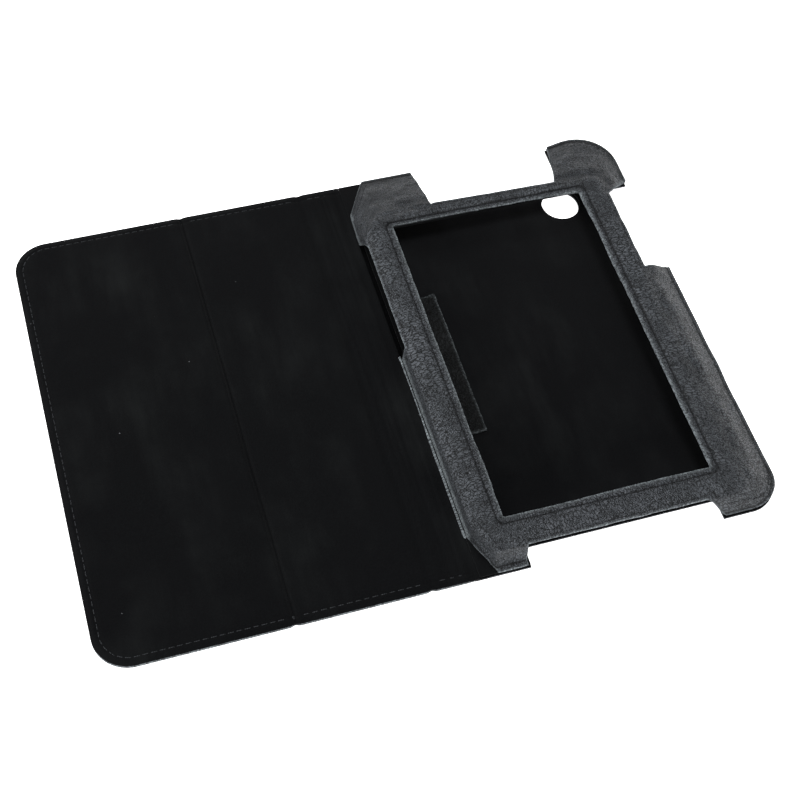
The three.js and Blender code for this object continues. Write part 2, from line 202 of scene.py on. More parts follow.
def grained_leather(name, cell_mm=1.1, relief=0.85, light="#404347", middle="#1c1e20",
                    dark="#010101", specular=0.17):
    """Milled cowhide: small soft pebbles with creases between them, drawn out along the grain's
    third coordinate, and a satin finish on their tops.
    Painted shade and highlight: the colour is darker in the creases and lighter on the pebbles'
    tops, lighter on the soft folds' crests and darker in their hollows, and darker along the sewn
    grooves.
    The raw cut edges are paler, fibrous and dull, and their pale colour is also painted as a
    highlight on the frame's spine-side wall."""
    mat, shader = new_material(name)
    place = add(mat, "Attribute", attribute_name="grain").outputs["Vector"]
    # the pebbles' outlines wander over 4.2 mm
    warp = add(mat, "TexNoise", {"Vector": place}, Scale=240.0, Detail=3.0, Roughness=0.6)
    bend = add(mat, "VectorMath", {0: warp.outputs["Color"]}, operation="SUBTRACT")
    bend.inputs[1].default_value = (0.5, 0.5, 0.5)
    shift = add(mat, "VectorMath", {0: bend.outputs[0]}, operation="SCALE", Scale=0.0026)
    moved = add(mat, "VectorMath", {0: place, 1: shift.outputs[0]}, operation="ADD").outputs[0]
    drawn = add(mat, "Mapping", {"Vector": moved})
    drawn.inputs["Scale"].default_value = (1.0, 1.0, 0.42)
    big = add(mat, "TexVoronoi", {"Vector": drawn.outputs[0]}, feature="DISTANCE_TO_EDGE",
              Scale=1000 / cell_mm, Randomness=1.0)
    small = add(mat, "TexVoronoi", {"Vector": moved}, feature="DISTANCE_TO_EDGE",
                Scale=1000 / (cell_mm * 0.68), Randomness=1.0)
    # patches of coarse and fine grain 15 mm wide, pores of 0.45 mm and soft folds of 6.7 mm
    patch = add(mat, "TexNoise", {"Vector": place}, Scale=65.0, Detail=2.0)
    pores = add(mat, "TexNoise", {"Vector": place}, Scale=2200.0, Detail=2.0)
    folds = add(mat, "TexNoise", {"Vector": place}, Scale=150.0, Detail=4.0, Roughness=0.6)
    tops = add(mat, "ValToRGB", {"Fac": big.outputs["Distance"]},
               stops=[(0.0, grey(0.0)), (0.06, grey(0.25)), (0.22, grey(1.0))]).outputs["Color"]
    fine = add(mat, "ValToRGB", {"Fac": small.outputs["Distance"]},
               stops=[(0.0, grey(0.0)), (0.09, grey(0.30)), (0.27, grey(1.0))]).outputs["Color"]
    pebble = add(mat, "TexVoronoi", {"Vector": drawn.outputs[0]}, feature="F1",
                 Scale=1000 / cell_mm, Randomness=1.0)
    one = add(mat, "SeparateColor", {"Color": pebble.outputs["Color"]})
    varied = add(mat, "ValToRGB", {"Fac": one.outputs["Red"]},
                 stops=[(0.0, grey(0.92)), (1.0, grey(1.12))]).outputs["Color"]
    mask = add(mat, "ValToRGB", {"Fac": patch.outputs["Fac"]},
               stops=[(0.38, grey(0.25)), (0.62, grey(0.65))]).outputs["Color"]
    height = add(mat, "Mix", {0: mask, "A": fine, "B": tops}, data_type="FLOAT").outputs[0]
    bump1 = add(mat, "Bump", {"Height": height}, Strength=1.0, Distance=0.55 * relief * MM)
    bump2 = add(mat, "Bump", {"Height": folds.outputs["Fac"], "Normal": bump1.outputs[0]},
                Strength=1.0, Distance=1.3 * relief * MM)
    bump3 = add(mat, "Bump", {"Height": pores.outputs["Fac"], "Normal": bump2.outputs[0]},
                Strength=0.5, Distance=0.10 * MM)
    # painted shade and highlight: the colour is darkened in the creases between the pebbles and
    # lightened on their tops
    base = add(mat, "ValToRGB", {"Fac": height},
               stops=[(0.05, linear(dark)), (0.32, linear(middle)),
                      (0.70, linear(light))]).outputs["Color"]
    # painted highlight and shade: lighter on the crests of the soft folds and darker in their
    # hollows
    fold_highlight_and_shade = add(mat, "ValToRGB", {"Fac": folds.outputs["Fac"]},
               stops=[(0.30, grey(0.75)), (0.72, grey(1.25))]).outputs["Color"]
    # painted shade: the colour is darkened along the sewn grooves that this attribute marks
    groove = add(mat, "Attribute", attribute_name="painted_groove_shade")
    shade = add(mat, "ValToRGB", {"Fac": groove.outputs["Fac"]},
                stops=[(0.0, grey(1.0)), (1.0, grey(0.12))]).outputs["Color"]
    times = {"data_type": "RGBA", "blend_type": "MULTIPLY", "Factor": 1.0}
    painted_shading = add(mat, "Mix", {"A": fold_highlight_and_shade, "B": shade}, **times)
    # painted fold and groove shading, times the random tone of each pebble
    mottle_and_painted_shading = add(mat, "Mix", {"A": painted_shading.outputs[2], "B": varied}, **times)
    toned = add(mat, "Mix", {"A": base, "B": mottle_and_painted_shading.outputs[2]}, **times)
    # bundles of cut fibres 0.67 mm wide, coarser than the real ones so that they show
    fibre = add(mat, "TexNoise", {"Vector": place}, Scale=1500.0, Detail=4.0)
    # pale, fibrous raw-edge colour; the same colour is also painted as a highlight on the frame's
    # spine-side wall
    edge = add(mat, "Attribute", attribute_name="raw_edge_and_painted_highlight")
    fibre_mask = add(mat, "ValToRGB", {"Fac": fibre.outputs["Fac"]},
                 stops=[(0.35, grey(0.35)), (0.6, grey(1.0))]).outputs["Color"]
    raw_and_highlight = add(mat, "Mix", {"A": edge.outputs["Fac"], "B": fibre_mask}, **times)
    raw_fibre_and_highlight_colour = add(mat, "ValToRGB", {"Fac": fibre.outputs["Fac"]},
               stops=[(0.3, linear("#33373a")), (0.7, linear("#7c8386"))]).outputs["Color"]
    colour = add(mat, "Mix", {0: raw_and_highlight.outputs[2], "A": toned.outputs[2], "B": raw_fibre_and_highlight_colour},
                 data_type="RGBA")
    gloss = add(mat, "MapRange", {0: height}, To_Min=0.70, To_Max=0.34)
    dull = add(mat, "Mix", {0: raw_and_highlight.outputs[2], "A": gloss.outputs[0]}, data_type="FLOAT",
               B=0.85)
    links = mat.node_tree.links
    links.new(colour.outputs[2], shader.inputs["Base Color"])
    links.new(dull.outputs[0], shader.inputs["Roughness"])
    links.new(bump3.outputs[0], shader.inputs["Normal"])
    shader.inputs["IOR"].default_value = 1.48
    shader.inputs["Specular IOR Level"].default_value = specular
    return mat


def napped_suede(name):
    """Brushed split-leather lining: a short velvety nap that reads nearly black, lies in
    streaks where it was stroked, is paler where it has been rubbed, and holds a little lint."""
    mat, shader = new_material(name)
    place = add(mat, "TexCoord").outputs["Object"]
    along = add(mat, "Mapping", {"Vector": place})
    along.inputs["Scale"].default_value = (1.0, 0.22, 1.0)
    # streaks 14 mm across, cloudy areas of 45 mm, tufts of nap 0.53 mm wide (coarser than
    # the real ones so that they show) and at most one speck of lint in 12 mm
    streak = add(mat, "TexNoise", {"Vector": along.outputs[0]},
                 Scale=70.0, Detail=5.0, Roughness=0.65)
    cloud = add(mat, "TexNoise", {"Vector": place}, Scale=22.0, Detail=4.0, Roughness=0.6)
    nap = add(mat, "TexNoise", {"Vector": place}, Scale=1900.0, Detail=3.0, Roughness=0.7)
    lint = add(mat, "TexVoronoi", {"Vector": place}, Scale=85.0, Randomness=1.0)
    chance = add(mat, "TexNoise", {"Vector": lint.outputs["Position"]}, Scale=900.0)
    base = add(mat, "ValToRGB", {"Fac": nap.outputs["Fac"]},
               stops=[(0.25, linear("#010102")), (0.75, linear("#070809"))]).outputs["Color"]
    rub = add(mat, "ValToRGB", {"Fac": streak.outputs["Fac"]},
              stops=[(0.38, grey(0.0)), (0.80, grey(0.8))]).outputs["Color"]
    area = add(mat, "ValToRGB", {"Fac": cloud.outputs["Fac"]},
               stops=[(0.42, grey(0.0)), (0.75, grey(0.8))]).outputs["Color"]
    amount = add(mat, "Math", {0: rub, 1: area}, operation="MULTIPLY")
    rubbed = add(mat, "Mix", {0: amount.outputs[0], "A": base}, data_type="RGBA",
                 B=linear("#191b1b"))
    dot = add(mat, "ValToRGB", {"Fac": lint.outputs["Distance"]},
              stops=[(0.014, grey(1.0)), (0.030, grey(0.0))]).outputs["Color"]
    pick = add(mat, "ValToRGB", {"Fac": chance.outputs["Fac"]},
               stops=[(0.58, grey(0.0)), (0.60, grey(1.0))]).outputs["Color"]
    speck = add(mat, "Math", {0: dot, 1: pick}, operation="MULTIPLY")
    colour = add(mat, "Mix", {0: speck.outputs[0], "A": rubbed.outputs[2]}, data_type="RGBA",
                 B=linear("#5d5f61"))
    bump1 = add(mat, "Bump", {"Height": nap.outputs["Fac"]}, Strength=0.5, Distance=0.18 * MM)
    bump2 = add(mat, "Bump", {"Height": streak.outputs["Fac"], "Normal": bump1.outputs[0]},
                Strength=0.35, Distance=0.5 * MM)
    links = mat.node_tree.links
    links.new(colour.outputs[2], shader.inputs["Base Color"])
    links.new(bump2.outputs[0], shader.inputs["Normal"])
    shader.inputs["Roughness"].default_value = 0.95
    shader.inputs["Specular IOR Level"].default_value = 0.05
    shader.inputs["Sheen Weight"].default_value = 0.04
    shader.inputs["Sheen Roughness"].default_value = 0.45
    return mat


def twisted_thread(name, light, dark):
    """Bonded polyester thread: two plies wound together, so each stitch is ribbed at a slant."""
    mat, shader = new_material(name)
    place = add(mat, "TexCoord").outputs["Object"]
    turned = add(mat, "Mapping", {"Vector": place})
    turned.inputs["Rotation"].default_value = (0.0, 0.0, math.radians(38))
    # the wave's scale of 420 gives a rib about every 0.75 mm, measured square to it
    ply = add(mat, "TexWave", {"Vector": turned.outputs[0]},
              Scale=420.0, Distortion=1.2, Detail=1.0)
    colour = add(mat, "ValToRGB", {"Fac": ply.outputs["Fac"]},
                 stops=[(0.1, linear(dark)), (0.8, linear(light))]).outputs["Color"]
    bump = add(mat, "Bump", {"Height": ply.outputs["Fac"]}, Strength=0.5, Distance=0.08 * MM)
    links = mat.node_tree.links
    links.new(colour, shader.inputs["Base Color"])
    links.new(bump.outputs[0], shader.inputs["Normal"])
    shader.inputs["Roughness"].default_value = 0.6
    shader.inputs["Specular IOR Level"].default_value = 0.12
    return mat


def pressed_board(name):
    """Grey millboard: pressed paper pulp with darker fibres."""
    mat, shader = new_material(name)
    place = add(mat, "TexCoord").outputs["Object"]
    pulp = add(mat, "TexNoise", {"Vector": place}, Scale=900.0, Detail=6.0)  # 1.1 mm flecks
    colour = add(mat, "ValToRGB", {"Fac": pulp.outputs["Fac"]},
                 stops=[(0.3, linear("#5f5c55")), (0.7, linear("#8f8b82"))]).outputs["Color"]
    mat.node_tree.links.new(colour, shader.inputs["Base Color"])
    shader.inputs["Roughness"].default_value = 0.9
    return mat


def moulded_sheet(name):
    """Thin extruded plastic sheet with a fine matt texture."""
    mat, shader = new_material(name)
    place = add(mat, "TexCoord").outputs["Object"]
    grit = add(mat, "TexNoise", {"Vector": place}, Scale=1400.0, Detail=2.0)  # 0.7 mm
    colour = add(mat, "ValToRGB", {"Fac": grit.outputs["Fac"]},
                 stops=[(0.3, linear("#141517")), (0.7, linear("#1e2022"))]).outputs["Color"]
    bump = add(mat, "Bump", {"Height": grit.outputs["Fac"]}, Strength=0.3, Distance=0.05 * MM)
    mat.node_tree.links.new(colour, shader.inputs["Base Color"])
    mat.node_tree.links.new(bump.outputs[0], shader.inputs["Normal"])
    shader.inputs["Roughness"].default_value = 0.55
    return mat


def needled_felt(name):
    """Needled felt: matted short fibres, soft and dull."""
    mat, shader = new_material(name)
    place = add(mat, "TexCoord").outputs["Object"]
    # tufts of 0.8 mm
    fibre = add(mat, "TexNoise", {"Vector": place}, Scale=1200.0, Detail=6.0, Distortion=2.0)
    colour = add(mat, "ValToRGB", {"Fac": fibre.outputs["Fac"]},
                 stops=[(0.3, linear("#232323")), (0.7, linear("#3f3f3f"))]).outputs["Color"]
    bump = add(mat, "Bump", {"Height": fibre.outputs["Fac"]}, Strength=0.6, Distance=0.1 * MM)
    mat.node_tree.links.new(colour, shader.inputs["Base Color"])
    mat.node_tree.links.new(bump.outputs[0], shader.inputs["Normal"])
    shader.inputs["Roughness"].default_value = 0.95
    return mat


LEATHER = grained_leather("milled_black_leather")
SUEDE = napped_suede("brushed_black_suede")
THREAD = twisted_thread("twisted_thread_on_leather", "#1b1c1e", "#060607")
THREAD_DARK = twisted_thread("twisted_thread_on_suede", "#26282b", "#0b0c0d")
# the tuck flap is the frame's leather given much darker colours and less shine, painted shade for
# its place under the band, with raw edges
FLAP_LEATHER_PAINTED_SHADE = grained_leather("flap_leather_painted_shade", cell_mm=1.1, relief=0.4, light="#101112",
                            middle="#070808", specular=0.05)
BOARD = pressed_board("pressed_grey_board")
STIFFENER = moulded_sheet("extruded_plastic_sheet")
FELT = needled_felt("needled_felt")


def lay_grain(obj, coordinates=None):
    """Gives the leather its own coordinates in metres, whose third one runs along the pebbles."""
    if coordinates is None:
        q = get_points(obj)
        coordinates = np.column_stack([q[:, 0], 0.6 * q[:, 2], q[:, 1]])
    layer = obj.data.attributes.new("grain", "FLOAT_VECTOR", "POINT")
    layer.data.foreach_set("vector", np.ascontiguousarray(coordinates).ravel())


def dress(obj, mat):
    obj.data.materials.clear()
    obj.data.materials.append(mat)


for node in ("outer_cover_board", "inner_cover_board", "back_board"):
    dress(frame["nodes"][node], BOARD)
dress(frame["nodes"]["spine_interlining"], FELT)
dress(frame["nodes"]["frame_stiffener"], STIFFENER)


# ------------------------------------------------------------------ cover sheets

def lines(marks):
    """Grid lines between pairs of marks: (from, to, step)."""
    out = []
    for a, b, step in marks:
        n = max(1, round(abs(b - a) / step))
        out.extend(a + (b - a) * i / n for i in range(n))
    out.append(marks[-1][1])
    return out


# the net is fine over the creases and over the edge, as far in as its row of stitches
EDGE_W = 4.2 * MM
AT_CREASE, AT_EDGE, AT_CORNER, IN_OPEN = 0.5 * MM, 0.6 * MM, 1.2 * MM, 2.2 * MM
ROWS = lines([
    (Y_BOTTOM, Y_BOTTOM + EDGE_W, AT_EDGE), (Y_BOTTOM + EDGE_W, Y_BOTTOM + COVER_R, AT_CORNER),
    (Y_BOTTOM + COVER_R, Y_TOP - COVER_R, IN_OPEN),
    (Y_TOP - COVER_R, Y_TOP - EDGE_W, AT_CORNER), (Y_TOP - EDGE_W, Y_TOP, AT_EDGE),
])
COLUMNS_A = lines([
    (X_LEFT, X_LEFT + EDGE_W, AT_EDGE), (X_LEFT + EDGE_W, X_LEFT + COVER_R, AT_CORNER),
    (X_LEFT + COVER_R, CREASE1 - 5 * MM, IN_OPEN), (CREASE1 - 5 * MM, CREASE1 + 5 * MM, AT_CREASE),
    (CREASE1 + 5 * MM, SEAM_A, IN_OPEN),
])
COLUMNS_B = lines([
    (SEAM_A, CREASE2 - 7 * MM, IN_OPEN), (CREASE2 - 7 * MM, SEAM_B, AT_CREASE),
])


def grid(name, xs, ys):
    """A flat net of faces with one point at each crossing of the given lines."""
    deselect()
    bpy.ops.mesh.primitive_grid_add(x_subdivisions=len(xs) - 1, y_subdivisions=len(ys) - 1, size=2)
    obj = bpy.context.object
    obj.name = obj.data.name = name
    p = get_points(obj)
    order = np.lexsort((p[:, 0].round(6), p[:, 1].round(6)))
    gx, gy = np.meshgrid(xs, ys)
    p[order, 0], p[order, 1], p[order, 2] = gx.ravel(), gy.ravel(), 0.0
    set_points(obj, p)
    return obj


def round_corners(p):
    """Draws the two square corners at the free edge into quarter circles."""
    x, y = p[:, 0].copy(), p[:, 1].copy()
    middle = Y_TOP - COVER_R
    u = np.clip((X_LEFT + COVER_R - x) / COVER_R, 0, 1)
    v = np.clip((np.abs(y) - middle) / COVER_R, 0, 1)
    inside = (u > 0) & (v > 0)
    nu, nv = u * np.sqrt(1 - v * v / 2), v * np.sqrt(1 - u * u / 2)
    p[inside, 0] = X_LEFT + COVER_R - COVER_R * nu[inside]
    p[inside, 1] = np.sign(y[inside]) * (middle + COVER_R * nv[inside])


def from_edge(x, y):
    """Distance from the cover's free edge, measured inwards."""
    dx = X_LEFT + COVER_R - x
    dy = np.abs(y) - (Y_TOP - COVER_R)
    corner = COVER_R - np.hypot(np.maximum(dx, 0), np.maximum(dy, 0))
    return np.where((dx > 0) | (dy > 0), corner, COVER_R)


# soft folds across the spine, from the cover's crease: distance and depth, in millimetres
SPINE_FOLDS = [(-3.4, 0.22), (3.2, 0.38), (6.4, 0.25), (9.8, 0.42), (13.2, 0.3)]


def crease_lines(x, y):
    """How deep the suede dips at the creases and over the soft spine, in metres."""
    sway = 0.5 * MM * np.sin(y / (31 * MM)) + 0.3 * MM * np.sin(y / (11 * MM) + 1.0)
    dip = 1.05 * MM * hump(x, CREASE1 + 0.3 * sway, 0.85 * MM)
    dip = dip + 0.55 * MM * hump(x, CREASE2 + sway, 1.5 * MM)
    soft = smooth((x - CREASE2 + 5 * MM) / (6 * MM)) * smooth((CREASE3 + 4 * MM - x) / (4 * MM))
    for i, (off, deep) in enumerate(SPINE_FOLDS):
        wander = 0.9 * MM * np.sin(y / ((24 + 5 * i) * MM) + 2.1 * i)
        strength = 0.6 + 0.4 * np.sin(y / ((37 - 3 * i) * MM) + i)
        dip = dip + soft * deep * MM * strength * hump(x, CREASE2 + off * MM + wander, 0.85 * MM)
    return dip + 0.5 * MM * hump(x, CREASE3, 1.6 * MM)


def lining_height(x, y):
    """Height of the lining's upper face, down to the leather at the pressed edge."""
    level = Z_LINING - (Z_LINING - Z_SPINE) * smooth((x - CREASE2 + 2 * MM) / (4 * MM))
    level = level - crease_lines(x, y) + 0.16 * MM * ripple(x, y, 38 * MM, 3)
    d = from_edge(x, y)
    top = RIM_Z + (level - RIM_Z) * smooth((d + 0.5 * MM) / (2.9 * MM))
    return top - 0.2 * MM * hump(d, ROW_INSET + THREAD_W / 2, 0.55 * MM)


def leather_height(x, y):
    """Height of the leather's outer face, raised where the edge, a row or a crease draws it in."""
    d = from_edge(x, y)
    lift = 0.3 * MM * (1 - smooth(d / (1.3 * MM)))
    groove = 0.28 * MM * hump(d, ROW_INSET + THREAD_W / 2, 0.5 * MM)
    crease = 0.35 * MM * hump(x, CREASE1, 1.0 * MM) + 0.25 * MM * hump(x, CREASE2, 1.2 * MM)
    return np.maximum(lift + groove + crease + 0.25 * MM * hump(x, CREASE3, 1.2 * MM), 0.0)


def nick_ends(p):
    """The edge is nicked a little where each crease meets it."""
    for at in (CREASE1, CREASE2):
        near = hump(p[:, 0], at, 1.3 * MM) * smooth((np.abs(p[:, 1]) - (Y_TOP - 6 * MM)) / (6 * MM))
        p[:, 1] -= np.sign(p[:, 1]) * 0.5 * MM * near


def cover_sheet(name, xs, kind, node_list):
    """One sheet of suede or leather laid across a crease between two bodies."""
    obj = grid(name, xs, ROWS)
    p = get_points(obj)
    round_corners(p)
    if kind == "suede":
        p[:, 2] = lining_height(p[:, 0], p[:, 1])
    else:
        p[:, 2] = leather_height(p[:, 0], p[:, 1])
    nick_ends(p)
    set_points(obj, p)
    if kind == "leather":
        lay_grain(obj)
        raw_and_highlight = obj.data.attributes.new("raw_edge_and_painted_highlight", "FLOAT", "POINT")
        raw_and_highlight.data.foreach_set("value", 0.9 * hump(from_edge(p[:, 0], p[:, 1]), 0, 0.45 * MM))
        flip_faces(obj)
    thickness = SUEDE_T if kind == "suede" else Z_LEATHER
    modify(obj, "SOLIDIFY", thickness=thickness, offset=-1.0, use_even_offset=False)
    activate(obj)
    bpy.ops.object.shade_smooth_by_angle(angle=math.radians(50))
    dress(obj, SUEDE if kind == "suede" else LEATHER)
    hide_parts(*node_list)
    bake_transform(obj)


COLUMNS_C = lines([(SEAM_B, CREASE3 + 2.55 * MM, AT_CREASE)])
COLUMNS_C_LEATHER = lines([(SEAM_B, BACK_X0, AT_CREASE)])

cover_sheet("cover_lining", COLUMNS_A, "suede",
            ["outer_cover_lining", "inner_cover_lining"])
cover_sheet("spine_lining_cover_side", COLUMNS_B, "suede", [])
cover_sheet("spine_lining_holder_side", COLUMNS_C, "suede",
            ["spine_lining"])
cover_sheet("cover_leather", COLUMNS_A, "leather",
            ["outer_cover_leather", "inner_cover_leather"])
cover_sheet("spine_leather_cover_side", COLUMNS_B, "leather", [])
cover_sheet("spine_leather_holder_side", COLUMNS_C_LEATHER, "leather",
            ["spine_leather"])


# ------------------------------------------------------------------ holder back

def from_node(name, node):
    """A merged copy of a CAD node's mesh, as a piece of its own."""
    obj = frame["nodes"][node].copy()
    obj.data = frame["nodes"][node].data.copy()
    obj.name = obj.data.name = name
    for key in list(obj.keys()):
        del obj[key]
    obj.parent = None
    bpy.context.collection.objects.link(obj)
    activate(obj)
    bpy.ops.object.mode_set(mode="EDIT")
    bpy.ops.mesh.select_all(action="SELECT")
    bpy.ops.mesh.remove_doubles(threshold=1e-6)
    bpy.ops.mesh.dissolve_limited(angle_limit=math.radians(1))
    bpy.ops.object.mode_set(mode="OBJECT")
    return obj


def panel_layer(name, node, mat, round_mm):
    """One stiff layer of the holder's back, with its edges rounded over."""
    obj = from_node(name, node)
    modify(obj, "BEVEL", width=round_mm * MM, segments=3, limit_method="ANGLE",
           angle_limit=math.radians(40))
    modify(obj, "TRIANGULATE")
    activate(obj)
    bpy.ops.object.shade_smooth_by_angle(angle=math.radians(35))
    dress(obj, mat)
    if mat == LEATHER:
        lay_grain(obj)
        # the upper face is the hide's flesh side, napped like the lining
        obj.data.materials.append(SUEDE)
        for face in obj.data.polygons:
            face.material_index = 1 if face.normal.z > 0.9 else 0
    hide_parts(node)
    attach(obj, "holder")


panel_layer("holder_leather", "back_leather", LEATHER, 0.25)
panel_layer("holder_lining", "back_lining", SUEDE, 0.15)


# ------------------------------------------------------------------ moulded frame

def outside_rect(x, y, x0, x1, y0, y1):
    """Signed distance from a rectangle's edge, positive outside it."""
    dx = np.maximum(x0 - x, x - x1)
    dy = np.maximum(y0 - y, y - y1)
    outer = np.hypot(np.maximum(dx, 0), np.maximum(dy, 0))
    return np.where((dx > 0) | (dy > 0), outer, np.maximum(dx, dy))


FRAME_T = 1.0 * MM
SEAM_IN = 2.2 * MM  # from the outer edge to a pocket's seam
BAND_ROWS, WALL_ROWS = 30, 30
# corner sizes in plan (x, y), and whether the corner is round, from the bottom right round
# to the bottom left: at the window, at the shoulder and at the outer edge
CORNERS = {
    "window": [(0.6, 0.6, True), (0.6, 0.6, True), (0.6, 0.6, True), (0.6, 0.6, True)],
    "shoulder": [(9.0, 9.0, True), (10.0, 10.0, True), (9.0, 12.0, False), (6.0, 14.0, False)],
    "edge": [(14.0, 14.0, True), (19.0, 19.0, True), (11.0, 19.0, False), (7.5, 19.0, False)],
}
# ends of the corner pockets, from the nearest corner of the holder: at the edge and the band
ENDS = {
    "bottom_left": (21.0, 20.3), "bottom_right": (27.3, 36.0), "right_low": (126.7, 122.6),
    "right_high": (30.6, 42.6), "top_right": (30.5, 38.7), "top_left": (35.5, 35.7),
    "left_high": (35.6, 44.8), "left_low": (110.3, 107.8),
}


def stations(kind, rect):
    """Sixteen places round one closed curve: both ends of each corner and each pocket end."""
    x0, x1, y0, y1 = rect
    k = 0 if kind == "edge" else 1
    e = {name: v[k] * MM for name, v in ENDS.items()}
    (brx, bry, _), (trx, try_, _), (tlx, tly, _), (blx, bly, _) = [
        (a * MM, b * MM, r) for a, b, r in CORNERS[kind]]
    up_left = {"window": 0.9, "shoulder": 1.5, "edge": 0.0}[kind] * MM
    up_right = {"window": 0.2, "shoulder": -0.4, "edge": 0.0}[kind] * MM
    return [
        (HX0 + e["bottom_left"], y0), (HX1 - e["bottom_right"], y0),
        (x1 - brx, y0), (x1, y0 + bry),
        (x1, HY0 + e["right_low"]), (x1, HY1 - e["right_high"]),
        (x1, y1 - try_), (x1 - trx, y1),
        (HX1 - e["top_right"], y1 + up_right), (HX0 + e["top_left"], y1 + up_left),
        (x0 + tlx, y1 + up_left), (x0, y1 + up_left - tly),
        (x0, HY1 - e["left_high"]), (x0, HY0 + e["left_low"]),
        (x0, y0 + bly), (x0 + blx, y0),
    ]


CORNER_SPANS = {2: 0, 6: 1, 10: 2, 14: 3}
GAP_SPANS = (0, 4, 8, 12)


def curve_points(kind, rect, counts):
    """Points along a closed curve, with a set number between each two stations."""
    st = stations(kind, rect)
    out = []
    for i, n in enumerate(counts):
        a, b = np.array(st[i]), np.array(st[(i + 1) % 16])
        t = np.arange(n) / n
        if i in CORNER_SPANS and CORNERS[kind][CORNER_SPANS[i]][2]:
            # a quarter of an ellipse between the two ends of a round corner
            turn = t * math.pi / 2
            horizontal = i in (2, 10)
            c = np.array((a[0], b[1])) if horizontal else np.array((b[0], a[1]))
            ra, rb = a - c, b - c
            pts = c + np.outer(np.cos(turn), ra) + np.outer(np.sin(turn), rb)
        else:
            pts = a + np.outer(t, b - a)
        out.append(pts)
    return np.vstack(out)


def wall_profile(t, run):
    """Share of the way out and of the way down, at t along a wall of that plan width."""
    narrow = smooth((9 * MM - run) / (6 * MM))
    long = smooth((run - 17 * MM) / (9 * MM))
    out_narrow = np.interp(t, [0, 0.8, 1], [0, 0.4, 1])
    down_narrow = np.interp(t, [0, 0.08, 0.8, 0.9, 1], [0, 0.04, 0.93, 0.99, 1])
    down_wide = np.interp(t, [0, 0.1, 0.25, 0.5, 0.75, 0.9, 1],
                          [0, 0.06, 0.20, 0.50, 0.80, 0.95, 1])
    down_long = np.interp(t, [0, 0.05, 0.14, 0.26, 0.5, 0.8, 1],
                          [0, 0.04, 0.15, 0.28, 0.54, 0.85, 1])
    way_out = t + narrow * (out_narrow - t)
    down = down_wide + narrow * (down_narrow - down_wide) + long * (down_long - down_wide)
    return way_out, down


